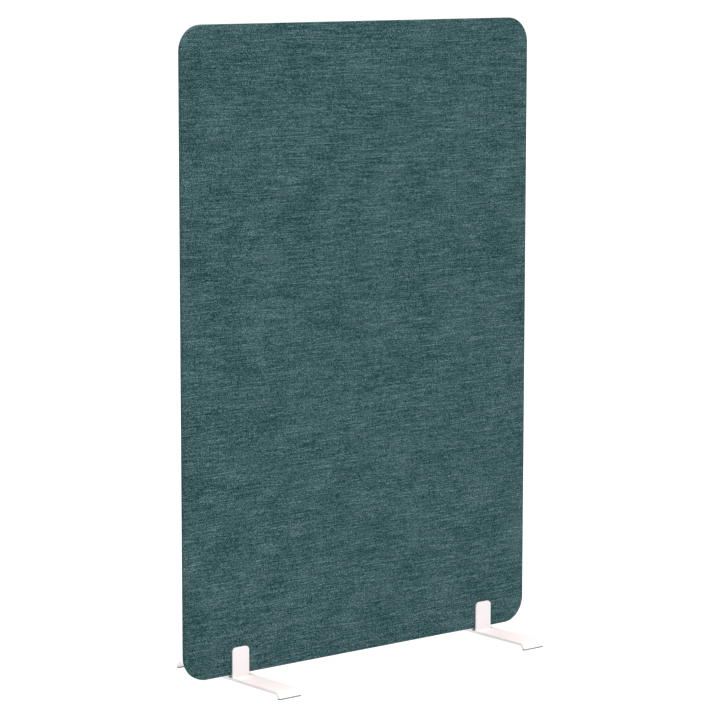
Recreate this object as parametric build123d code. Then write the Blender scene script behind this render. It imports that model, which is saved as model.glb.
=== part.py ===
from build123d import *
import os
from math import radians, sin, tan

# Acoustic divider screen. A thin board with felt and cloth on both faces stands upright in two
# feet of bent flat steel. X runs across the panel, the front looks towards -Y and Z is up.
# The origin lies on the floor, under the middle of the panel's width and of the feet's length.
# Lengths are millimetres and angles degrees.

# Panel, outside of the cloth
panel_width = 1000.0
panel_height = 1435.0
corner_radius = 58.0
rim_radius = 2.0
floor_gap = 23.0  # from the floor to the panel's bottom edge
panel_forward = 12.0  # from the middle of the feet's length to the panel's middle plane

# Layers of the panel, from its middle plane outwards
board_thickness = 6.0
felt_thickness = 2.3
cloth_thickness = 0.7

# Seam round the panel's edge, where the two covers are sewn together
seam_allowance = 2.3  # depth of the cloth that is turned in behind the seam
seam_recess = 0.4
seam_turn = 0.3  # how far the covers' corners are eased where they turn in

# Foot bar: flat steel, bent down at both ends
foot_length = 380.0
bar_width = 60.0
bar_thickness = 6.0
bar_top_height = 16.0  # from the floor to the bar's top
bend_angle = 60.0
bend_inside_radius = 2.5
bar_edge_chamfer = 0.5
glide_thickness = 3.0
left_foot_inset = 127.0  # panel's left edge to the left bar's left edge
right_foot_inset = 92.0  # panel's right edge to the right bar's right edge

# Tongues: upright plates welded on the bar, one on each side of the panel
tongue_width = 46.0
tongue_height = 68.5
tongue_thickness = 4.0
tongue_corner_radius = 10.0
tongue_edge_chamfer = 0.7
weld_leg = 1.6

# Screws, washers and tee nuts
screw_diameter = 5.0
screw_length = 12.0
head_diameter = 9.5
head_height = 2.7
head_top_diameter = 5.6
socket_width = 3.0
socket_depth = 1.6
washer_diameter = 10.0
washer_thickness = 1.0
nut_flange_width = 15.0
nut_flange_thickness = 1.2
nut_barrel_diameter = 7.0
nut_barrel_length = 4.4
lower_screw_rise = 22.0  # from the panel's bottom edge to the lower screw
screw_pitch = 25.0

# Clearances on every side, and one overrun for every through cut
screw_clearance = 0.3
thread_clearance = 0.1
nut_clearance = 0.1
felt_clearance = 1.0
cut_overrun = 1.0

# Sizes that follow from those above
panel_thickness = board_thickness + 2 * (felt_thickness + cloth_thickness)
seam_width = 2 * cloth_thickness
board_inset = cloth_thickness + seam_allowance
inner_rim = rim_radius - cloth_thickness
panel_y = -panel_forward
panel_middle_z = floor_gap + panel_height / 2
front_y = panel_y - panel_thickness / 2
back_y = panel_y + panel_thickness / 2
board_front_y = panel_y - board_thickness / 2
board_back_y = panel_y + board_thickness / 2
nut_seat_y = board_front_y + nut_flange_thickness
tongue_back_y = back_y + tongue_thickness
left_bar_x = -panel_width / 2 + left_foot_inset
right_bar_x = panel_width / 2 - right_foot_inset - bar_width
end_depth = bar_thickness / sin(radians(bend_angle))  # of a bar end that is cut level
lower_screw_z = floor_gap + lower_screw_rise
screw_heights = (lower_screw_z, lower_screw_z + screw_pitch)


def slab(inset, start_y, thickness):
    """Plate with the panel's outline, drawn in by inset, that reaches forward from start_y."""
    outline = RectangleRounded(panel_width - 2 * inset, panel_height - 2 * inset, corner_radius - inset)
    upright = Plane.XZ.offset(-start_y)
    return extrude(upright * (Pos(0, panel_middle_z) * outline), thickness)


def front_edges(piece):
    """Edges round the piece's foremost face."""
    return piece.faces().sort_by(Axis.Y)[0].edges()


def to_back(front_piece):
    """The same piece on the panel's other face."""
    return mirror(front_piece, about=Plane.XZ.offset(-panel_y))


def along_y(section, x, z, start_y, end_y):
    """Bar with this section that lies along Y at x and z, for shanks, nuts and holes."""
    start = Plane(origin=(x, start_y, z), x_dir=(1, 0, 0), z_dir=(0, 1, 0))
    return extrude(start * section, end_y - start_y)


def disc(diameter):
    """Round section."""
    return Circle(diameter / 2)


def square(width):
    """Square section."""
    return Rectangle(width, width)


def screw_places(bar_x):
    """X and Z of the screws of one foot, in the middle of a tongue that is flush with its bar."""
    return [(bar_x + tongue_width / 2, z) for z in screw_heights]


all_screw_places = screw_places(left_bar_x) + screw_places(right_bar_x)


def make_board():
    """Stiff board with a stepped hole for each tee nut, cut from the front."""
    board = slab(board_inset, board_back_y, board_thickness)
    barrel_hole = disc(nut_barrel_diameter + 2 * nut_clearance)
    flange_pocket = square(nut_flange_width + 2 * nut_clearance)
    for x, z in all_screw_places:
        board -= along_y(flange_pocket, x, z, board_front_y - cut_overrun, nut_seat_y)
        board -= along_y(barrel_hole, x, z, board_front_y, board_back_y + cut_overrun)
    return board


def make_front_felt():
    """Acoustic felt that lies on the board and fills the cover's face, with an eased rim."""
    felt = slab(cloth_thickness, board_front_y, felt_thickness)
    return chamfer(front_edges(felt), inner_rim)


def make_rear_felt():
    """The same felt behind the board, with a small window cut out round each screw."""
    felt = to_back(make_front_felt())
    window = square(screw_diameter + 2 * felt_clearance)
    for x, z in all_screw_places:
        felt -= along_y(window, x, z, board_back_y - cut_overrun, back_y + cut_overrun)
    return felt


def make_front_cover():
    """Cloth tray: a flat face, a rounded rim and half of the panel's edge, down to the seam."""
    seam_y = panel_y - seam_width / 2
    depth = seam_y - front_y
    outside = slab(0, seam_y, depth)
    outside = fillet(front_edges(outside), rim_radius)
    outside = chamfer(outside.faces().sort_by(Axis.Y)[-1].edges(), seam_turn)
    inside = slab(cloth_thickness, seam_y, depth - cloth_thickness)
    return outside - chamfer(front_edges(inside), inner_rim)


def make_rear_cover():
    """The same tray on the back, pierced by the screws."""
    cover = to_back(make_front_cover())
    hole = disc(screw_diameter + 2 * screw_clearance)
    for x, z in all_screw_places:
        cover -= along_y(hole, x, z, board_back_y, back_y + cut_overrun)
    return cover


def make_edge_seam():
    """Both covers' turned-in edges, sewn together: a ring from just under the surface to the board."""
    start_y = panel_y + seam_width / 2
    return slab(seam_recess, start_y, seam_width) - slab(board_inset, start_y, seam_width)


def bar_profile():
    """Side view of a foot bar, Y along and Z up, with both ends cut level on their glides."""
    middle_z = bar_top_height - bar_thickness / 2
    slope = tan(radians(bend_angle))
    outer_run = (bar_top_height - glide_thickness) / slope
    corner_y = foot_length / 2 - outer_run - bar_thickness / 2 * tan(radians(bend_angle / 2))
    below_y = corner_y + bar_top_height / slope
    below_z = middle_z - bar_top_height
    middle_line = FilletPolyline(
        (-below_y, below_z),
        (-corner_y, middle_z),
        (corner_y, middle_z),
        (below_y, below_z),
        radius=bend_inside_radius + bar_thickness / 2,
    )
    from_top = (Align.CENTER, Align.MAX)
    below_glides = Pos(0, glide_thickness) * Rectangle(2 * foot_length, foot_length, align=from_top)
    return trace(middle_line, bar_thickness) - below_glides


def make_foot_bar(bar_x):
    """Flat bar, bent at both ends, with the sharp edges taken off along both sides."""
    bar = extrude(Plane.YZ.offset(bar_x) * bar_profile(), bar_width)
    sides = bar.faces().sort_by(Axis.X)
    return chamfer(sides[0].edges() + sides[-1].edges(), bar_edge_chamfer)


def make_glide(bar_x, end):
    """Strip under a bar end: end is -1 for the toe in front and 1 for the heel behind."""
    middle_y = end * (foot_length - end_depth) / 2
    strip = Box(bar_width, end_depth, glide_thickness, align=(Align.MIN, Align.CENTER, Align.MIN))
    return Pos(bar_x, middle_y, 0) * strip


def make_front_tongue(bar_x):
    """Upright plate with rounded top corners and a weld along its foot, in front of the cloth."""
    outline = Rectangle(tongue_width, tongue_height, align=(Align.MIN, Align.MIN))
    outline = fillet(outline.vertices().group_by(Axis.Y)[-1], tongue_corner_radius)
    plate = extrude(Plane.XZ.offset(-front_y) * outline, tongue_thickness)
    rim = front_edges(plate).sort_by(Axis.Z)[1:]
    plate = chamfer(rim, tongue_edge_chamfer)
    face_y = front_y - tongue_thickness
    weld_section = Polyline((face_y - weld_leg, 0), (face_y, 0), (face_y, weld_leg), close=True)
    weld_length = tongue_width - 2 * tongue_edge_chamfer
    weld = extrude(Plane.YZ.offset(tongue_edge_chamfer) * make_face(weld_section), weld_length)
    return Pos(bar_x, 0, bar_top_height) * (plate + weld)


def make_rear_tongue(bar_x):
    """The same plate behind the panel, drilled for the screws."""
    tongue = to_back(make_front_tongue(bar_x))
    hole = disc(screw_diameter + 2 * screw_clearance)
    for x, z in screw_places(bar_x):
        tongue -= along_y(hole, x, z, back_y - cut_overrun, tongue_back_y + cut_overrun)
    return tongue


def make_screw():
    """Button head screw: its head rises from the XY plane and its shank hangs below."""
    from_bottom = (Align.CENTER, Align.CENTER, Align.MIN)
    head = Cone(head_diameter / 2, head_top_diameter / 2, head_height, align=from_bottom)
    hexagon = RegularPolygon(socket_width / 2, 6, major_radius=False)
    head -= extrude(Pos(0, 0, head_height - socket_depth) * hexagon, socket_depth + cut_overrun)
    return head + extrude(disc(screw_diameter), -screw_length)


def make_screws(bar_x):
    """Screws of one foot, driven from behind, with their heads on the washers."""
    seat_y = tongue_back_y + washer_thickness
    return [
        Plane(origin=(x, seat_y, z), x_dir=(1, 0, 0), z_dir=(0, 1, 0)) * make_screw()
        for x, z in screw_places(bar_x)
    ]


def make_washers(bar_x):
    """Washers of one foot, on the rear tongue."""
    ring = disc(washer_diameter) - disc(screw_diameter + 2 * screw_clearance)
    end_y = tongue_back_y + washer_thickness
    return [along_y(ring, x, z, tongue_back_y, end_y) for x, z in screw_places(bar_x)]


def make_tee_nuts(bar_x):
    """Tee nuts of one foot: the square flange is sunk in the board's front, the barrel points back."""
    bore = disc(screw_diameter + 2 * thread_clearance)
    flange = square(nut_flange_width) - bore
    barrel = disc(nut_barrel_diameter) - bore
    barrel_end_y = nut_seat_y + nut_barrel_length
    return [
        along_y(flange, x, z, board_front_y, nut_seat_y) + along_y(barrel, x, z, nut_seat_y, barrel_end_y)
        for x, z in screw_places(bar_x)
    ]


def make_panel():
    """Nodes of the panel."""
    return {
        "core_board": make_board(),
        "front_felt": make_front_felt(),
        "rear_felt": make_rear_felt(),
        "front_cover": make_front_cover(),
        "rear_cover": make_rear_cover(),
        "edge_seam": make_edge_seam(),
    }


def make_foot(side, bar_x):
    """Nodes of one foot, named after its side."""
    return {
        f"{side}_foot_bar": make_foot_bar(bar_x),
        f"{side}_toe_glide": make_glide(bar_x, -1),
        f"{side}_heel_glide": make_glide(bar_x, 1),
        f"{side}_front_tongue": make_front_tongue(bar_x),
        f"{side}_rear_tongue": make_rear_tongue(bar_x),
        f"{side}_screws": Compound(children=make_screws(bar_x)),
        f"{side}_washers": Compound(children=make_washers(bar_x)),
        f"{side}_tee_nuts": Compound(children=make_tee_nuts(bar_x)),
    }


os.makedirs("parts", exist_ok=True)
nodes = make_panel() | make_foot("left", left_bar_x) | make_foot("right", right_bar_x)
for name, shape in nodes.items():
    export_step(shape, f"parts/{name}.step")
    print(name, "solids", len(shape.solids()), "volume", round(shape.volume))
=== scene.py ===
# %% [markdown]
# An acoustic divider screen, dressed for its picture.
#
# The real screen is a thin board with felt on both faces. Two cloth covers are stretched over the felt
# and sewn together in the middle of the panel's edge. Two feet of bent flat steel clamp the bottom edge
# between upright tongues.
#
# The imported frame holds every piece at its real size. The rigid outlines could be shown as they are,
# but cloth, felt, seams and coated edges need finer meshes and real finishes. So this file reads each
# place and size from the frame and models the visible pieces again inside the same boxes.

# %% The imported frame
from math import atan2, cos, pi, radians, sin, tan

import bmesh
import bpy
from mathutils import Matrix, Vector, noise


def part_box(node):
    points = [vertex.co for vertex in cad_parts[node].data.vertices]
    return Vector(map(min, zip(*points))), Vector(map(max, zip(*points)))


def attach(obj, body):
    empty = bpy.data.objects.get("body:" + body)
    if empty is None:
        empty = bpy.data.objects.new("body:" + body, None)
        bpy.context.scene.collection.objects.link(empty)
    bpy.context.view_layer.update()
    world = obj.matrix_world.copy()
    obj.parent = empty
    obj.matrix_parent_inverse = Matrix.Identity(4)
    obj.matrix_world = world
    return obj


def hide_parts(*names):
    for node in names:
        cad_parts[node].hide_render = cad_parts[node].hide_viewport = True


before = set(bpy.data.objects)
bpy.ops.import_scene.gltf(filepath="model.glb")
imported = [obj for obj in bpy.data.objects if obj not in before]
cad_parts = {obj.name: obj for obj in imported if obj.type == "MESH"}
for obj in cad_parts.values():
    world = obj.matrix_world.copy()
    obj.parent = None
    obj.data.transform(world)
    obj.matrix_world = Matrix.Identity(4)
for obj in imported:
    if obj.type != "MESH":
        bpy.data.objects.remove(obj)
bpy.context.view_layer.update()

body = "root"

# %% [markdown]
# The panel's outside comes from the boxes of the two covers. Only the rounding of the corners and of
# the rim can't be read from a box, so these stay as named sizes, in metres.

# %% The panel's sizes
panel_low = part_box("front_cover")[0]
panel_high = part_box("rear_cover")[1]
panel_width = panel_high.x - panel_low.x
panel_height = panel_high.z - panel_low.z
panel_depth = panel_high.y - panel_low.y
panel_middle = (panel_low + panel_high) / 2
corner_radius = 0.058
rim_radius = 0.002
print("panel:", round(panel_width, 4), "by", round(panel_height, 4), "by", round(panel_depth, 4), "m")

# %% [markdown]
# The camera stands to the left of the screen and a little above it, far away with a long lens. Its
# place could be guessed by eye. Here it was solved from the panel's outline and the feet.
#
# The photographer's camera was level, with its lens shifted down, which keeps the upright edges exactly
# parallel. So large a shift would push the screen out of every other view, so this camera is tilted
# down instead. Its uprights lean together a little, so that some edges land two or three pixels out.
#
# The turn is about the vertical, the tilt is downwards, and the roll is about the line of sight.

# %% The camera
camera_place = Vector((-4.29609, -5.22165, 1.65663))
camera_turn = radians(39.505)
camera_tilt = radians(8.110)
camera_roll = radians(0.063)
focal_length = 150.6
sensor_width = 36.0

camera_data = bpy.data.cameras.new("camera")
camera_data.lens = focal_length
camera_data.sensor_width = sensor_width
camera = bpy.data.objects.new("camera", camera_data)
bpy.context.scene.collection.objects.link(camera)
camera.matrix_world = (
    Matrix.Translation(camera_place)
    @ Matrix.Rotation(-camera_turn, 4, "Z")
    @ Matrix.Rotation(pi / 2 - camera_tilt, 4, "X")
    @ Matrix.Rotation(camera_roll, 4, "Z")
)
bpy.context.scene.camera = camera
print("camera:", round((camera_place - panel_middle).length, 2), "m from the panel")

# %% [markdown]
# Node materials are sums on sockets. Drawn by hand, a long sum is a wall of Math nodes that nobody
# can read. So a small class wraps a socket, and plain Python sums on it add the nodes.
#
# Colours don't go through Math nodes, which would turn them grey. They are blended by Mix nodes, which
# are added by the same method as every other node.

# %% A socket that can be calculated with
class Wire:
    """An output socket in a recipe. A sum on wires adds Math nodes."""

    def __init__(self, recipe, socket):
        self.recipe = recipe
        self.socket = socket

    def math(self, operation, *values):
        inputs = dict(enumerate(values))
        return self.recipe.node("ShaderNodeMath", {"operation": operation}, inputs)

    def __add__(self, other):
        return self.math("ADD", self, other)

    def __sub__(self, other):
        return self.math("SUBTRACT", self, other)

    def __rsub__(self, other):
        return self.math("SUBTRACT", other, self)

    def __mul__(self, other):
        return self.math("MULTIPLY", self, other)

    def __truediv__(self, other):
        return self.math("DIVIDE", self, other)

    def floor(self):
        return self.math("FLOOR", self)

    def sine(self):
        return self.math("SINE", self)

    def absolute(self):
        return self.math("ABSOLUTE", self)


# %% [markdown]
# One method adds any node. It takes the node's type, its settings and what goes into its sockets, and
# gives back a wire. Most of the others are short names for nodes that come up again and again.
#
# A finish is a recipe that ends in a material's shader. Colours are given as they look on screen, and
# turned into the light values that a shader counts in.

# %% A recipe of nodes
class Recipe:
    """The node tree of a material or a world, and one method that adds any node to it."""

    def __init__(self, owner):
        owner.use_nodes = True
        self.tree = owner.node_tree

    def node(self, kind, settings, inputs, output=0):
        node = self.tree.nodes.new(kind)
        for setting, value in settings.items():
            setattr(node, setting, value)
        for key, value in inputs.items():
            self.feed(node.inputs[key], value)
        return Wire(self, node.outputs[output])

    def feed(self, socket, value):
        if isinstance(value, Wire):
            self.tree.links.new(value.socket, socket)
        else:
            socket.default_value = value

    def place(self, source="Object"):
        """The point that is being shaded: in the piece's own space, on its flat cut, or as a direction."""
        return self.node("ShaderNodeTexCoord", {}, {}, source)

    def parts(self, vector):
        """The three numbers of a vector."""
        split = self.node("ShaderNodeSeparateXYZ", {}, {0: vector})
        return [Wire(self, socket) for socket in split.socket.node.outputs]

    def vector(self, x, y, z):
        return self.node("ShaderNodeCombineXYZ", {}, {0: x, 1: y, 2: z})

    def noise(self, vector, scale, detail=2.0, roughness=0.5):
        """Soft noise from 0 to 1, with about scale lumps in a unit."""
        inputs = {"Vector": vector, "Scale": scale, "Detail": detail, "Roughness": roughness}
        return self.node("ShaderNodeTexNoise", {}, inputs)

    def ramp(self, value, low, high, to_low=0.0, to_high=1.0):
        """Maps low..high to to_low..to_high and holds it inside."""
        inputs = {0: value, 1: low, 2: high, 3: to_low, 4: to_high}
        return self.node("ShaderNodeMapRange", {"clamp": True}, inputs)

    def mix(self, factor, first, second):
        """A colour between first and second."""
        inputs = {0: factor, 6: first, 7: second}
        return self.node("ShaderNodeMix", {"data_type": "RGBA"}, inputs, 2)

    def bump(self, height, depth):
        """A normal that follows the height, which is depth metres from 0 to 1."""
        return self.node("ShaderNodeBump", {}, {"Height": height, "Distance": depth})


class Finish(Recipe):
    """A material, with its shader at the end of the recipe."""

    def __init__(self, name):
        self.material = bpy.data.materials.new(name)
        super().__init__(self.material)
        self.shader = self.tree.nodes["Principled BSDF"]

    def set(self, **inputs):
        for name, value in inputs.items():
            self.feed(self.shader.inputs[name.replace("_", " ")], value)
        print("finish:", self.material.name, len(self.tree.nodes), "nodes")
        return self.material


def light_value(share):
    """The light that a screen level from 0 to 1 stands for, by the sRGB curve."""
    if share <= 0.04045:
        return share / 12.92
    return ((share + 0.055) / 1.055) ** 2.4


def colour(*levels):
    """A colour as it looks on screen, from 0 to 255, as the light values that a shader takes."""
    return (*[light_value(level / 255) for level in levels], 1.0)


# %% [markdown]
# The cloth is a plain weave of melange yarn, with thick and thin places along every yarn. From a step
# away those slubs are short level streaks, and close to, each yarn is seen to pass over and under.
#
# An image could be laid on it, but would blur up close. Instead every yarn has a number, counted along
# the flat cut, and noise along the yarn is read at that number, so that each yarn has its own streaks.
# The weave itself is a product of a sine along each direction: its sign says which yarn is on top.
#
# Fine noise, drawn out along each yarn and slanted by its twist, gives the single fibres. Lengths are in
# metres. The weights say how much each kind of noise counts in the shade, before the shade is mapped to
# a colour between the dark yarn and the light one. A seed moves the noise to another place, so that the
# two covers, and the two sets of yarn, don't repeat each other.

# %% Cloth
yarn_pitch = 0.0011
yarn_height = 0.00022
yarn_twist = 0.45
yarn_step = 7.31
slub_length = 0.075
slub_weight = 4.3
fleck_length = 0.0020
fleck_weight = 6.8
warp_weight = 0.5
fibre_length = 0.0018
fibre_width = 0.00016
fibre_weight = 1.2
fibre_relief = 0.5
clouds_in_a_metre = 9.0
cloud_weight = 0.52
crossing_start, crossing_end = -0.9, -0.1
darkest_shade, lightest_shade = -0.23, 1.41
dark_yarn = colour(0, 46, 51)
light_yarn = colour(114, 144, 146)
front_seed, rear_seed = 1.0, 200.0
fleck_seed, warp_seed, warp_fibre_seed = 3.7, 40.0, 20.0


def yarn_shade(recipe, along, across, seed):
    """How light each yarn of one set is along its length, around 0: long slubs and short flecks."""
    row = (across / yarn_pitch).floor() * yarn_step + seed
    slub_place = recipe.vector(along / slub_length, row, seed)
    fleck_place = recipe.vector(along / fleck_length, row, seed + fleck_seed)
    slubs = recipe.noise(slub_place, scale=1.0, detail=3.0, roughness=0.7)
    flecks = recipe.noise(fleck_place, scale=1.0, detail=2.0, roughness=0.7)
    return (slubs - 0.5) * slub_weight + (flecks - 0.5) * fleck_weight


def fibres(recipe, along, across, seed):
    """Fibres of about fibre_width that run along a yarn, slanted by its twist."""
    slanted = across + along * yarn_twist
    place = recipe.vector(along / fibre_length, slanted / fibre_width, seed)
    return recipe.noise(place, scale=1.0, detail=2.0)


def make_cloth(name, seed):
    recipe = Finish(name)
    across, up, _ = recipe.parts(recipe.place("UV"))
    weft = yarn_shade(recipe, across, up, seed)
    warp = yarn_shade(recipe, up, across, seed + warp_seed) * warp_weight
    turn = pi / yarn_pitch
    weave = (across * turn).sine() * (up * turn + pi / 2).sine()
    weft_on_top = recipe.ramp(weave + weft, crossing_start, crossing_end)
    weft_fibres = fibres(recipe, across, up, seed)
    warp_fibres = fibres(recipe, up, across, seed + warp_fibre_seed)
    fibre = warp_fibres + (weft_fibres - warp_fibres) * weft_on_top
    shade = warp + (weft - warp) * weft_on_top + (fibre - 0.5) * fibre_weight
    cloud = recipe.noise(recipe.vector(across, up, seed), clouds_in_a_metre, detail=2.0)
    lightness = recipe.ramp(shade + (cloud - 0.5) * cloud_weight, darkest_shade, lightest_shade)
    cloth_colour = recipe.mix(lightness, dark_yarn, light_yarn)
    height = weave.absolute() + fibre * fibre_relief
    relief = recipe.bump(height, yarn_height)
    return recipe.set(Base_Color=cloth_colour, Roughness=0.9, Specular_IOR_Level=0.05, Normal=relief)


front_cloth_finish = make_cloth("front_cloth_finish", front_seed)
rear_cloth_finish = make_cloth("rear_cloth_finish", rear_seed)

# %% [markdown]
# The feet are steel with a fine satin powder coat. Real powder is never mirror flat: it has a soft
# orange peel under half a millimetre wide. Noise gives the bump, and a little more of it varies the
# gloss, so that a reflection breaks up slightly as it does on the real coat.

# %% Powder coat
dark_powder = colour(226, 221, 224)
light_powder = colour(232, 227, 229)


def make_powder_coat():
    recipe = Finish("powder_coat")
    place = recipe.place()
    peel = recipe.noise(place, scale=2600.0)
    cloud = recipe.noise(place, scale=30.0, detail=3.0)
    tint = recipe.mix(cloud, dark_powder, light_powder)
    gloss = recipe.ramp(peel * 0.6 + cloud * 0.4, low=0.3, high=0.7, to_low=0.42, to_high=0.52)
    relief = recipe.bump(peel, depth=0.00001)
    return recipe.set(Base_Color=tint, Roughness=gloss, Specular_IOR_Level=0.25, Normal=relief)


powder_coat = make_powder_coat()

# %% [markdown]
# The glides are moulded plastic strips under the bar's ends, matt and grey. Zinc, on the screws and
# their washers and nuts, is a metal with a cloudy, slightly blue gloss.

# %% Glide plastic and zinc
dark_plastic = colour(88, 88, 92)
scuffed_plastic = colour(120, 120, 124)
blue_zinc = colour(178, 182, 190)
grey_zinc = colour(214, 214, 212)


def make_glide_plastic():
    recipe = Finish("glide_plastic")
    place = recipe.place()
    grain = recipe.noise(place, scale=1800.0, detail=3.0)
    scuffs = recipe.noise(place, scale=160.0, detail=4.0)
    tone = recipe.mix(scuffs, dark_plastic, scuffed_plastic)
    gloss = recipe.ramp(scuffs, low=0.3, high=0.7, to_low=0.45, to_high=0.65)
    return recipe.set(Base_Color=tone, Roughness=gloss, Normal=recipe.bump(grain, depth=0.00004))


def make_zinc():
    recipe = Finish("zinc")
    place = recipe.place()
    cloud = recipe.noise(place, scale=700.0, detail=4.0)
    tone = recipe.mix(cloud, blue_zinc, grey_zinc)
    gloss = recipe.ramp(cloud, low=0.3, high=0.7, to_low=0.22, to_high=0.42)
    relief = recipe.bump(cloud, depth=0.00001)
    return recipe.set(Base_Color=tone, Roughness=gloss, Metallic=1.0, Normal=relief)


glide_plastic = make_glide_plastic()
zinc = make_zinc()

# %% [markdown]
# Felt is a mat of needled fibres and the board is pressed from fine wood fibre. Both are hidden once
# the screen is sewn up, but they are real pieces, and someone may lift the covers off this model.
# Thin stretched noise, crossed in two directions, reads as fibre.

# %% Felt and board
def make_fibre_finish(name, length, width, relief_depth, dark, light):
    recipe = Finish(name)
    x, y, z = recipe.parts(recipe.place())
    level = recipe.noise(recipe.vector(x / length, y / width, z / width), scale=1.0, detail=3.0)
    upright = recipe.noise(recipe.vector(x / width, y / width, z / length), scale=1.0, detail=3.0)
    tangle = (level + upright) * 0.5
    tone = recipe.mix(recipe.ramp(tangle, low=0.35, high=0.65), dark, light)
    return recipe.set(Base_Color=tone, Roughness=0.95, Normal=recipe.bump(tangle, relief_depth))


dark_felt = colour(120, 122, 122)
light_felt = colour(186, 188, 186)
dark_board = colour(128, 98, 70)
light_board = colour(182, 150, 114)
felt_finish = make_fibre_finish(
    "felt_finish", length=0.006, width=0.0004, relief_depth=0.0003, dark=dark_felt, light=light_felt
)
board_finish = make_fibre_finish(
    "board_finish", length=0.003, width=0.0005, relief_depth=0.00005, dark=dark_board, light=light_board
)

# %% [markdown]
# The sewing thread is a shade darker than the cloth. Its twisted strands are far too fine to model on
# every stitch. Each stitch crosses the seam from front to back, so noise that is three times as fine in
# that direction marks the turns of the strands.

# %% Sewing thread
dark_thread = colour(28, 50, 52)
light_thread = colour(62, 90, 92)
lumps_along_stitch = 9000.0
lumps_across_stitch = 3000.0


def make_thread():
    recipe = Finish("thread_finish")
    x, y, z = recipe.parts(recipe.place())
    place = recipe.vector(x * lumps_across_stitch, y * lumps_along_stitch, z * lumps_across_stitch)
    strands = recipe.noise(place, scale=1.0, detail=1.0)
    tone = recipe.mix(strands, dark_thread, light_thread)
    return recipe.set(Base_Color=tone, Roughness=0.8, Normal=recipe.bump(strands, depth=0.00003))


thread_finish = make_thread()

# %% [markdown]
# Every new piece ends the same way: its bmesh becomes an object at the origin, gets its finish, and is
# told which body it rides on and which nodes it replaces.
#
# Smooth shading alone would make a large flat face look dished beside the small faces of a rounded
# edge. Weighted normals let the large face decide.

# %% From a bmesh to a piece
smooth_angle = radians(40)


def piece_from(bm, name, finish, slot, *replaced):
    mesh = bpy.data.meshes.new(name)
    bm.to_mesh(mesh)
    bm.free()
    mesh.materials.append(finish)
    mesh.shade_smooth()
    mesh.set_sharp_from_angle(angle=smooth_angle)
    piece = bpy.data.objects.new(name, mesh)
    bpy.context.scene.collection.objects.link(piece)
    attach(piece, body)
    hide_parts(*replaced)
    size = Vector(piece.bound_box[6]) - Vector(piece.bound_box[0])
    print(name + ":", len(mesh.polygons), "faces,", [round(1000 * side, 1) for side in size], "mm")
    return piece


def keep_flats_flat(piece):
    piece.modifiers.new("flats", "WEIGHTED_NORMAL").keep_sharp = True


# %% [markdown]
# Most pieces start as an upright face around the origin that looks forward. Small helpers round its
# corners, slice it, open holes in it, extrude its edges and give it a thickness.

# %% Helpers for flat faces
hair = 1e-7
edge_steps = 3
hole_steps = 24
hole_cell_share = 1.3
nearly_square = radians(60)


def edges_in(geometry):
    return [part for part in geometry if isinstance(part, bmesh.types.BMEdge)]


def verts_in(geometry):
    return [part for part in geometry if isinstance(part, bmesh.types.BMVert)]


def everything(bm):
    return bm.verts[:] + bm.edges[:] + bm.faces[:]


def upright_face(width, height):
    bm = bmesh.new()
    bmesh.ops.create_grid(bm, x_segments=1, y_segments=1, size=0.5, matrix=Matrix.Rotation(pi / 2, 4, "X"))
    bmesh.ops.scale(bm, vec=(width, 1, height), verts=bm.verts)
    return bm


def round_corners(bm, corners, radius, steps=edge_steps):
    bmesh.ops.bevel(
        bm, geom=corners, offset=radius, affect="VERTICES", segments=steps, profile=0.5, material=-1
    )


def ease(bm, edges, radius, steps=edge_steps):
    bmesh.ops.bevel(bm, geom=edges, offset=radius, affect="EDGES", segments=steps, profile=0.5, material=-1)


def slice_at(bm, direction, places):
    """Cuts all faces across a direction, at each place along it."""
    direction = Vector(direction)
    for place in places:
        bmesh.ops.bisect_plane(
            bm, geom=everything(bm), plane_co=direction * place, plane_no=direction, dist=hair
        )


def is_near(point, x, z, reach):
    return abs(point.x - x) < reach and abs(point.z - z) < reach


def drill(bm, places, radius):
    """Opens a round hole at each X and Z, in a square cell that is cut for it."""
    half_cell = radius * hole_cell_share
    for x, z in places:
        slice_at(bm, (1, 0, 0), (x - half_cell, x + half_cell))
        slice_at(bm, (0, 0, 1), (z - half_cell, z + half_cell))
    for x, z in places:
        cell = [face for face in bm.faces if is_near(face.calc_center_bounds(), x, z, half_cell)]
        rim = [edge for face in cell for edge in face.edges if not set(edge.link_faces) <= set(cell)]
        bmesh.ops.delete(bm, geom=cell, context="FACES")
        upright = Matrix.Translation((x, 0, z)) @ Matrix.Rotation(pi / 2, 4, "X")
        bmesh.ops.create_circle(bm, segments=hole_steps, radius=radius, matrix=upright)
        hole = [edge for edge in bm.edges if edge.is_wire]
        bmesh.ops.triangle_fill(bm, edges=rim + hole, use_beauty=True)
    bm.normal_update()
    bmesh.ops.reverse_faces(bm, faces=[face for face in bm.faces if face.normal.y > 0])


def add_ring(bm, edges, move):
    """Extrudes the edges, moves what is new and returns the new outer edges."""
    grown = bmesh.ops.extrude_edge_only(bm, edges=edges)["geom"]
    new = set(verts_in(grown))
    for vert in new:
        vert.co = move(vert.co)
    return [edge for edge in edges_in(grown) if set(edge.verts) <= new]


def thicken(bm, thickness):
    """Pushes the faces back by a thickness, as a closed slab."""
    slab = bmesh.ops.extrude_face_region(bm, geom=bm.faces[:])["geom"]
    bmesh.ops.translate(bm, verts=verts_in(slab), vec=(0, thickness, 0))
    bmesh.ops.recalc_face_normals(bm, faces=bm.faces)


def square_edges(bm):
    """The edges between faces that meet at about a right angle."""
    return [edge for edge in bm.edges if edge.calc_face_angle(0) > nearly_square]


def set_up(bm, side, place):
    """Turns what looks forward to its side of the screen, and moves it to its place."""
    turn = 0 if side == "front" else pi
    bmesh.ops.rotate(bm, verts=bm.verts, matrix=Matrix.Rotation(turn, 3, "Z"))
    bmesh.ops.translate(bm, verts=bm.verts, vec=place)


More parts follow.
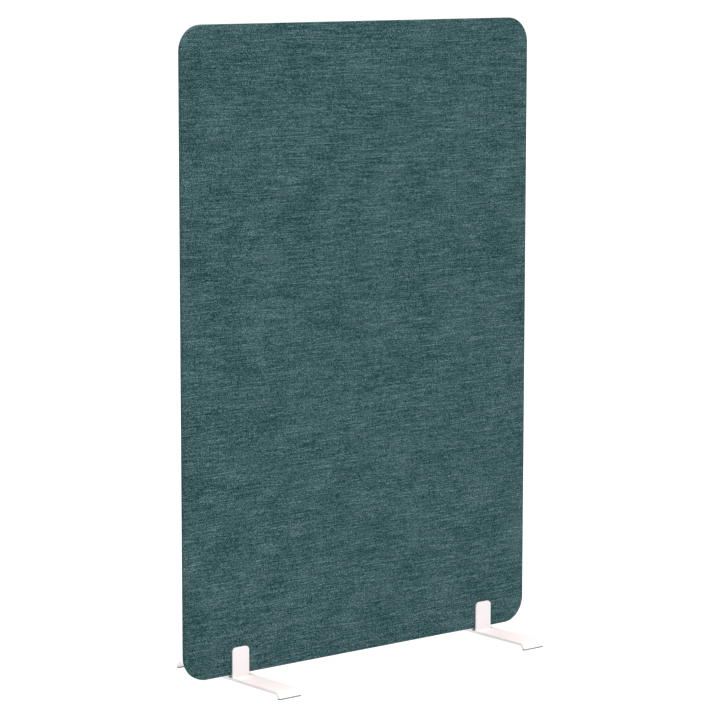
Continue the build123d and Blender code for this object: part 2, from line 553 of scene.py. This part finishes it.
# %% [markdown]
# The cloth of a cover is cut flat, a little larger than the panel, and then folded: over the felt's
# rounded rim, along the edge to its middle, and in at the seam. Modelled the same way, the flat cut is
# also the cloth's UV map, so the weave runs over the rim as the real yarn does.
#
# The fold works on a point's run, its distance from the flat of the face along the cloth. Under the
# cloth the felt is never quite level, so the flat of the face gets a wave too low to see head-on, which
# shows as a soft change of light from the side.

# %% The fold at the panel's edge
cloth_thickness = 0.0007
seam_gap = 0.0001
turn_radius = 0.00105
hem = 0.0017
felt_wave = 0.00012
wave_length = 0.09

half_depth = panel_depth / 2
flat_width = panel_width - 2 * rim_radius
flat_height = panel_height - 2 * rim_radius
flat_radius = corner_radius - rim_radius
rim_run = rim_radius * pi / 2
wall_run = half_depth - rim_radius - turn_radius - seam_gap / 2
turn_run = turn_radius * pi / 2
whole_run = rim_run + wall_run + turn_run + hem


def corner_centre(point):
    """The nearest point of the upright rectangle between the corners' centres."""
    reach_x = flat_width / 2 - flat_radius
    reach_z = flat_height / 2 - flat_radius
    return Vector((max(min(point.x, reach_x), -reach_x), point.y, max(min(point.z, reach_z), -reach_z)))


def outward(point, distance):
    """A point beyond the face's corners' centres, moved straight out."""
    return point + (point - corner_centre(point)).normalized() * distance


def folded(run):
    """How far out from the face's flat, and how deep behind it, a run along the cloth ends."""
    if run <= rim_run:
        angle = run / rim_radius
        return rim_radius * sin(angle), rim_radius * (1 - cos(angle))
    if run <= rim_run + wall_run:
        return rim_radius, rim_radius + run - rim_run
    turn_depth = rim_radius + wall_run
    if run <= rim_run + wall_run + turn_run:
        angle = (run - rim_run - wall_run) / turn_radius
        return rim_radius - turn_radius * (1 - cos(angle)), turn_depth + turn_radius * sin(angle)
    return rim_radius - turn_radius - (run - whole_run + hem), turn_depth + turn_radius


def fold(point):
    """Where a point of the flat cut lies on the panel, seen from the side that it faces."""
    run = (point - corner_centre(point)).length - flat_radius
    if run > hair:
        out, deep = folded(run)
        return outward(point, out - run) + Vector((0, deep - half_depth, 0))
    fade = min(-run / wave_length, 1) if corner_centre(point) != point else 1
    wave = noise.noise(point / wave_length) * felt_wave * fade
    return point + Vector((0, wave - half_depth, 0))


print("cloth past the flat of the face:", round(1000 * whole_run, 2), "mm")

# %% [markdown]
# A cover starts as its flat face, sliced into squares that let it wave. Rings of faces are added round
# it for the rim, the wall, the turn into the seam and the hem. Holes are drilled while the cloth is still
# flat, and its places are kept as the UV map. Only then is it folded. Solidify gives it its thickness,
# inwards. Both covers are made as if they faced forward, and the rear one is turned round at the end.

# %% Covers
square_size = 0.025
corner_steps = 16
fold_steps = 6
wall_steps = 2


def squares(length):
    """Where a length is cut into parts of about square_size, counted from its middle."""
    count = round(length / square_size)
    return [length * (step / count - 0.5) for step in range(1, count)]


def shares(length, count):
    """Where each of count equal parts of a length ends."""
    return [length * (step + 1) / count for step in range(count)]


def fold_runs():
    """The runs that get a ring of edges, closer together in the bends than on the wall."""
    rim = shares(rim_run, fold_steps)
    wall = [rim_run + run for run in shares(wall_run, wall_steps)]
    turn = [rim_run + wall_run + run for run in shares(turn_run, fold_steps)]
    return rim + wall + turn + [whole_run]


def make_cover(side, finish, holes):
    bm = upright_face(flat_width, flat_height)
    round_corners(bm, bm.verts[:], flat_radius, corner_steps)
    slice_at(bm, (1, 0, 0), squares(flat_width))
    slice_at(bm, (0, 0, 1), squares(flat_height))
    edges = [edge for edge in bm.edges if edge.is_boundary]
    before = 0.0
    for run in fold_runs():
        step = run - before
        edges = add_ring(bm, edges, lambda point: outward(point, step))
        before = run
    if holes:
        drill(bm, holes, screw_hole_radius)
    cut = bm.loops.layers.uv.new("cut")
    for face in bm.faces:
        for loop in face.loops:
            loop[cut].uv = loop.vert.co.x, loop.vert.co.z
    for vert in bm.verts:
        vert.co = fold(vert.co)
    set_up(bm, side, panel_middle)
    cover = piece_from(bm, side + "_cover_cloth", finish, "cloth", side + "_cover")
    shell = cover.modifiers.new("cloth thickness", "SOLIDIFY")
    shell.thickness = cloth_thickness
    shell.offset = -1
    size = (flat_width + 2 * whole_run, flat_height + 2 * whole_run)
    corner = flat_radius + whole_run
    area = size[0] * size[1] - (4 - pi) * corner ** 2
    print(side, "cover cut from", [round(1000 * length) for length in size], "mm")


# %% [markdown]
# The rear cover has a hole for each screw. Each foot has two screws, one above the other, so their places
# follow from the box of the pair and the radius of a head. Seen from behind, left and right change sides.

# %% The screws' places, and both covers
head_radius = 0.00475
screw_places = []
for side in ("left", "right"):
    low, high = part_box(side + "_screws")
    for z in (low.z + head_radius, high.z - head_radius):
        screw_places.append(((low.x + high.x) / 2, z))
print("screws at", [(round(x, 4), round(z, 4)) for x, z in screw_places])
screw_hole_radius = 0.0028
seen_from_behind = [(panel_middle.x - x, z - panel_middle.z) for x, z in screw_places]

make_cover("front", front_cloth_finish, [])
make_cover("rear", rear_cloth_finish, seen_from_behind)

# %% [markdown]
# The felt is a plain die-cut sheet with an eased rim. The rear one has a round window for each screw.

# %% Felt
felt_window_radius = 0.0035
felt_rim = 0.0013
felt_rim_steps = 4


def make_felt(side, holes):
    low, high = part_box(side + "_felt")
    middle = (low + high) / 2
    width, depth, height = high - low
    bm = upright_face(width, height)
    round_corners(bm, bm.verts[:], corner_radius - (panel_width - width) / 2, corner_steps)
    if holes:
        drill(bm, holes, felt_window_radius)
    thicken(bm, depth)
    rim = [edge for edge in square_edges(bm) if max(vert.co.y for vert in edge.verts) < hair]
    for x, z in holes:
        window = Vector((x, 0, z))
        rim = [edge for edge in rim if (edge.verts[0].co - window).length > 2 * felt_window_radius]
    ease(bm, rim, felt_rim, felt_rim_steps)
    bmesh.ops.translate(bm, verts=bm.verts, vec=(0, -depth / 2, 0))
    set_up(bm, side, middle)
    felt = piece_from(bm, side + "_felt_sheet", felt_finish, "felt", side + "_felt")
    keep_flats_flat(felt)


make_felt("front", [])
make_felt("rear", seen_from_behind)

# %% [markdown]
# The two covers' hems meet in the seam and are closed with small straight stitches, sunk between the
# folds. There are about fifteen hundred of them. Each is a stretched ball of two dozen faces, placed
# along one quarter of the outline, and two mirrors make the other three quarters.

# %% Seam stitches
stitch_pitch = 0.0032
stitch_length = 0.0011
stitch_width = 0.0004
stitch_sink = 0.0004
stitch_sides = 6
stitch_rings = 4


def quarter_outline(inset, pitch):
    """Points and turns along a quarter of the outline, from the middle of the bottom to the right."""
    radius = corner_radius - inset
    bottom = panel_width / 2 - corner_radius
    side = panel_height / 2 - corner_radius
    bend = radius * pi / 2
    count = round((bottom + bend + side) / pitch)
    step = (bottom + bend + side) / count
    for number in range(count):
        run = step * (number + 0.5)
        if run < bottom:
            yield Vector((run, 0, -side - radius)), 0.0
        elif run < bottom + bend:
            turn = (run - bottom) / radius
            yield Vector((bottom + radius * sin(turn), 0, -side - radius * cos(turn))), turn
        else:
            yield Vector((bottom + radius, 0, run - bottom - bend - side)), pi / 2


def make_stitches():
    bm = bmesh.new()
    shape = Matrix.Diagonal((stitch_width / 2, stitch_length / 2, stitch_width / 2, 1.0))
    for point, turn in quarter_outline(stitch_sink, stitch_pitch):
        place = Matrix.Translation(point) @ Matrix.Rotation(-turn, 4, "Y") @ shape
        bmesh.ops.create_uvsphere(
            bm, u_segments=stitch_sides, v_segments=stitch_rings, radius=1.0, matrix=place
        )
    for axis in ("X", "Z"):
        bmesh.ops.mirror(bm, geom=everything(bm), axis=axis, merge_dist=-1.0)
    bmesh.ops.recalc_face_normals(bm, faces=bm.faces)
    bmesh.ops.translate(bm, verts=bm.verts, vec=panel_middle)
    piece_from(bm, "seam_stitches", thread_finish, "seam", "edge_seam")


make_stitches()

# %% [markdown]
# A foot bar is drawn as it is bent. A flat section with rounded edges is pushed out from the middle,
# turned about the bend's centre with spin, pushed on down the slope, and cut level on its glide. Then
# it is mirrored. A curve with a bevel would do too, but spin keeps the section true in the bend.

# %% Foot bars
bar_thickness = 0.006
bar_edge_radius = 0.0004
bend_angle = radians(60)
bend_inside_radius = 0.0025
bend_steps = 10


def push(bm, edges, vector):
    """Extrudes the edges along a vector and returns the edges at the far end."""
    return add_ring(bm, edges, lambda point: point + vector)


def make_foot_bar(side):
    low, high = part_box(side + "_foot_bar")
    middle_x = (low.x + high.x) / 2
    bend_z = high.z - bar_thickness - bend_inside_radius
    outside_radius = bend_inside_radius + bar_thickness
    drop = bend_z + outside_radius * cos(bend_angle) - low.z
    bend_y = high.y - outside_radius * sin(bend_angle) - drop / tan(bend_angle)
    bm = upright_face(high.x - low.x, bar_thickness)
    round_corners(bm, bm.verts[:], bar_edge_radius)
    bmesh.ops.delete(bm, geom=bm.faces[:], context="FACES_ONLY")
    bmesh.ops.translate(bm, verts=bm.verts, vec=(middle_x, 0, high.z - bar_thickness / 2))
    edges = push(bm, bm.edges[:], Vector((0, bend_y, 0)))
    section = [vert for vert in bm.verts if vert.co.y > 0]
    bend = bmesh.ops.spin(
        bm, geom=edges + section, cent=(middle_x, bend_y, bend_z), axis=(1, 0, 0), dvec=(0, 0, 0),
        angle=-bend_angle, steps=bend_steps, use_merge=False, use_duplicate=False,
    )["geom_last"]
    past_floor = 2 * high.z
    push(bm, edges_in(bend), Vector((0, cos(bend_angle), -sin(bend_angle))) * past_floor)
    cut = bmesh.ops.bisect_plane(
        bm, geom=everything(bm), plane_co=(0, 0, low.z), plane_no=(0, 0, -1), clear_outer=True, dist=hair
    )["geom_cut"]
    bmesh.ops.contextual_create(bm, geom=edges_in(cut))
    bmesh.ops.mirror(bm, geom=everything(bm), axis="Y", merge_dist=-1.0)
    bmesh.ops.remove_doubles(bm, verts=bm.verts, dist=hair)
    bmesh.ops.recalc_face_normals(bm, faces=bm.faces)
    keep_flats_flat(piece_from(bm, side + "_bar", powder_coat, "coated_steel", side + "_foot_bar"))


# %% [markdown]
# Each foot has two tongues, upright plates that hold the panel between them. The plate's outline is
# one face with two rounded corners, pushed out to its thickness, with eased edges. At its base runs
# the weld, ground to a hollow fillet: a vertex is spun a quarter turn, and the arc is closed and pushed
# across the plate.

# %% Tongues
tongue_corner_radius = 0.010
tongue_corner_steps = 12
tongue_edge_radius = 0.0009
tongue_thickness = 0.004
weld_leg = 0.0016
weld_steps = 6


def add_weld(bm, left, right, base_z, plate_y, away):
    """A hollow fillet from left to right between an upright plate and the bar, on the plate's outside."""
    known = set(everything(bm))
    toe = bm.verts.new((left, plate_y + away * weld_leg, base_z))
    bmesh.ops.spin(
        bm, geom=[toe], cent=(left, toe.co.y, base_z + weld_leg), axis=(1, 0, 0), dvec=(0, 0, 0),
        angle=-away * pi / 2, steps=weld_steps, use_merge=False, use_duplicate=False,
    )
    arc = [edge for edge in bm.edges if edge not in known]
    top = max((vert for edge in arc for vert in edge.verts), key=lambda vert: vert.co.z)
    root = bm.verts.new((left, plate_y, base_z))
    arc += [bm.edges.new((top, root)), bm.edges.new((root, toe))]
    section = bmesh.ops.contextual_create(bm, geom=arc)["faces"]
    bead = bmesh.ops.extrude_face_region(bm, geom=section)["geom"]
    bmesh.ops.translate(bm, verts=verts_in(bead), vec=(right - left, 0, 0))
    bmesh.ops.recalc_face_normals(bm, faces=[face for face in bm.faces if face not in known])


def make_tongue(side, face):
    node = f"{side}_{face}_tongue"
    low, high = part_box(node)
    away = -1 if face == "front" else 1
    plate_y = high.y - tongue_thickness if face == "front" else low.y
    middle = (low + high) / 2
    bm = upright_face(high.x - low.x, high.z - low.z)
    upper = [vert for vert in bm.verts if vert.co.z > 0]
    round_corners(bm, upper, tongue_corner_radius, tongue_corner_steps)
    if face == "rear":
        own_screws = [(x - middle.x, z - middle.z) for x, z in screw_places if low.x < x < high.x]
        drill(bm, own_screws, screw_hole_radius)
    thicken(bm, tongue_thickness)
    bmesh.ops.translate(bm, verts=bm.verts, vec=(middle.x, plate_y, middle.z))
    outline = [
        edge for edge in square_edges(bm)
        if any(vert.co.z > low.z + hair for vert in edge.verts)
        and abs(edge.verts[0].co.y - edge.verts[1].co.y) < hair
    ]
    ease(bm, outline, tongue_edge_radius)
    outside_y = plate_y if face == "front" else plate_y + tongue_thickness
    add_weld(bm, low.x, high.x, low.z, outside_y, away)
    keep_flats_flat(piece_from(bm, node + "_plate", powder_coat, "coated_steel", node))


# %% [markdown]
# A glide is a strip of plastic, pressed on under the bar's end. Its section across the foot is a low
# rounded oblong, pushed to its depth, with eased ends.

# %% Glides
glide_corner_radius = 0.0009
glide_corner_steps = 4
glide_edge_radius = 0.0006


def make_glide(side, end):
    node = f"{side}_{end}_glide"
    low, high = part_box(node)
    width, depth, height = high - low
    bm = upright_face(width, height)
    round_corners(bm, bm.verts[:], glide_corner_radius, glide_corner_steps)
    thicken(bm, depth)
    ends = [edge for edge in square_edges(bm) if abs(edge.verts[0].co.y - edge.verts[1].co.y) < hair]
    ease(bm, ends, glide_edge_radius)
    middle = (low + high) / 2
    bmesh.ops.translate(bm, verts=bm.verts, vec=(middle.x, low.y, middle.z))
    keep_flats_flat(piece_from(bm, node + "_strip", glide_plastic, "glide", node))


for side in ("left", "right"):
    make_foot_bar(side)
    for face in ("front", "rear"):
        make_tongue(side, face)
    for end in ("toe", "heel"):
        make_glide(side, end)

# %% [markdown]
# The screws have low domed heads with a hexagon socket. A profile is turned about the screw's axis,
# as on a lathe, and the socket's hexagon is bridged to the ring that the profile leaves open. The dome
# itself is a vertex spun about a centre down on the axis.

# %% Screws and washers
screw_radius = 0.0025
tip_chamfer = 0.0006
head_rim = 0.0005
head_height = 0.0027
crown_radius = 0.0028
socket_sides = 6
socket_width = 0.003
socket_depth = 0.0016
socket_point = 0.00032
crown_steps = 6
turn_steps = 36
washer_hole_radius = 0.00265
washer_edge_radius = 0.0002


def turn_on_axis(bm):
    """Turns the edges all the way round Z."""
    bmesh.ops.spin(
        bm, geom=bm.verts[:] + bm.edges[:], cent=(0, 0, 0), axis=(0, 0, 1), dvec=(0, 0, 0),
        angle=2 * pi, steps=turn_steps, use_merge=True, use_duplicate=False,
    )
    bmesh.ops.remove_doubles(bm, verts=bm.verts, dist=hair)


def finish_pair(bm, low, high, seat_y, radius, name, node):
    """Lays a turned piece along Y, with a copy above it, and makes the pair a piece."""
    bmesh.ops.rotate(bm, verts=bm.verts, matrix=Matrix.Rotation(-pi / 2, 3, "X"))
    bmesh.ops.translate(bm, verts=bm.verts, vec=((low.x + high.x) / 2, seat_y, low.z + radius))
    upper = bmesh.ops.duplicate(bm, geom=everything(bm))["geom"]
    bmesh.ops.translate(bm, verts=verts_in(upper), vec=(0, 0, high.z - low.z - 2 * radius))
    keep_flats_flat(piece_from(bm, name, zinc, "fastener", node))


def make_screws(side):
    low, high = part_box(side + "_screws")
    seat_y = high.y - head_height
    bm = bmesh.new()
    tip = low.y - seat_y
    profile = [(0, tip), (screw_radius - tip_chamfer, tip), (screw_radius, tip + tip_chamfer)]
    profile += [(screw_radius, 0), (head_radius, 0), (head_radius, head_rim)]
    line = [bm.verts.new((radius, 0, z)) for radius, z in profile]
    for first, second in zip(line, line[1:]):
        bm.edges.new((first, second))
    top_reach = crown_radius ** 2 + head_height ** 2
    rim_reach = head_radius ** 2 + head_rim ** 2
    crown_z = (top_reach - rim_reach) / (2 * (head_height - head_rim))
    sweep = atan2(head_height - crown_z, crown_radius) - atan2(head_rim - crown_z, head_radius)
    bmesh.ops.spin(
        bm, geom=[line[-1]], cent=(0, 0, crown_z), axis=(0, 1, 0), dvec=(0, 0, 0),
        angle=-sweep, steps=crown_steps, use_merge=False, use_duplicate=False,
    )
    turn_on_axis(bm)
    opening = [edge for edge in bm.edges if edge.is_boundary]
    socket_radius = socket_width / 2 / cos(pi / socket_sides)
    head_top = Matrix.Translation((0, 0, head_height))
    bmesh.ops.create_circle(bm, segments=socket_sides, radius=socket_radius, matrix=head_top)
    sides = [edge for edge in bm.edges if edge.is_wire]
    bmesh.ops.subdivide_edges(bm, edges=sides, cuts=turn_steps // socket_sides - 1)
    hexagon = [edge for edge in bm.edges if edge.is_wire]
    bmesh.ops.bridge_loops(bm, edges=opening + hexagon)
    floor_edges = push(bm, hexagon, Vector((0, 0, -socket_depth)))
    base = bmesh.ops.contextual_create(bm, geom=floor_edges)["faces"]
    bmesh.ops.poke(bm, faces=base, offset=-socket_point)
    bmesh.ops.recalc_face_normals(bm, faces=bm.faces)
    finish_pair(bm, low, high, seat_y, head_radius, side + "_screw_pair", side + "_screws")


def make_washers(side):
    low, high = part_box(side + "_washers")
    radius = (high.x - low.x) / 2
    depth = high.y - low.y
    bm = upright_face(radius - washer_hole_radius, depth)
    round_corners(bm, bm.verts[:], washer_edge_radius)
    bmesh.ops.delete(bm, geom=bm.faces[:], context="FACES_ONLY")
    bmesh.ops.translate(bm, verts=bm.verts, vec=((radius + washer_hole_radius) / 2, 0, depth / 2))
    turn_on_axis(bm)
    bmesh.ops.recalc_face_normals(bm, faces=bm.faces)
    finish_pair(bm, low, high, low.y, radius, side + "_washer_pair", side + "_washers")


for side in ("left", "right"):
    make_screws(side)
    make_washers(side)

# %% [markdown]
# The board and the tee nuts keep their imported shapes, which are right as they are. They only need
# their finishes.

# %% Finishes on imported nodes
packed_finishes = {"core_board": board_finish, "left_tee_nuts": zinc, "right_tee_nuts": zinc}
for node, finish in packed_finishes.items():
    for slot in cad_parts[node].material_slots:
        slot.material = finish
print("packed nodes shown:", ", ".join(packed_finishes))

# %% [markdown]
# The floor is plain and white, and the light is soft. A wide source in front, to the right, lays a faint
# shadow on the cloth to the left of each tongue, and another overhead lights the tops of the feet. Two
# weak ones fill what they leave dark: a low one lifts the left sides of the feet, another the back.
#
# White walls stand all round, brightest near the floor, so that light also gets in under the panel. To
# the camera they are a plain white backdrop, as in a studio where the backdrop has lamps of its own.

# %% Floor and light
white = (1.0, 1.0, 1.0, 1.0)
floor_size = 60.0
floor_glow = 0.90
floor_shade = 0.16
wall_top = 0.6
wall_glow = 0.6
ceiling_glow = 0.1
backdrop_glow = 1.1
key_direction = Vector((0.60, -0.58, 0.50)).normalized()
key_strength = 1.45
key_softness = radians(30)
top_strength = 4.6
top_softness = radians(40)
top_colour = (1.0, 0.91, 0.84)
left_direction = Vector((-0.70, -0.70, 0.12)).normalized()
left_strength = 0.65
back_direction = Vector((-0.45, 0.80, 0.40)).normalized()
back_strength = 1.0
fill_softness = radians(30)


def make_floor():
    bm = bmesh.new()
    bmesh.ops.create_grid(bm, x_segments=1, y_segments=1, size=floor_size / 2)
    mesh = bpy.data.meshes.new("floor")
    bm.to_mesh(mesh)
    bm.free()
    floor = bpy.data.objects.new("floor", mesh)
    bpy.context.scene.collection.objects.link(floor)
    recipe = Finish("floor_paint")
    grey = (floor_shade, floor_shade, floor_shade, 1.0)
    paint = recipe.set(Base_Color=grey, Roughness=0.9, Emission_Color=white, Emission_Strength=floor_glow)
    paint.cycles.emission_sampling = "NONE"
    mesh.materials.append(paint)


def make_surround():
    world = bpy.data.worlds.new("studio")
    bpy.context.scene.world = world
    recipe = Recipe(world)
    _, _, rise = recipe.parts(recipe.place("Generated"))
    glow = recipe.ramp(rise, 0.0, wall_top, wall_glow, ceiling_glow)
    to_camera = recipe.node("ShaderNodeLightPath", {}, {}, "Is Camera Ray")
    background = recipe.tree.nodes["Background"]
    recipe.feed(background.inputs["Color"], white)
    recipe.feed(background.inputs["Strength"], glow + (backdrop_glow - glow) * to_camera)


def make_lamp(name, direction, strength, softness, tint=(1.0, 1.0, 1.0)):
    light = bpy.data.lights.new(name, "SUN")
    light.color = tint
    light.energy = strength
    light.angle = softness
    lamp = bpy.data.objects.new(name, light)
    bpy.context.scene.collection.objects.link(lamp)
    lamp.rotation_mode = "QUATERNION"
    lamp.rotation_quaternion = direction.to_track_quat("Z", "Y")


make_floor()
make_surround()
make_lamp("key", key_direction, key_strength, key_softness)
make_lamp("top", Vector((0, 0, 1)), top_strength, top_softness, top_colour)
make_lamp("left", left_direction, left_strength, fill_softness)
make_lamp("back", back_direction, back_strength, fill_softness)
bpy.context.scene.view_settings.view_transform = "Standard"
print("light from", [round(part, 2) for part in key_direction])
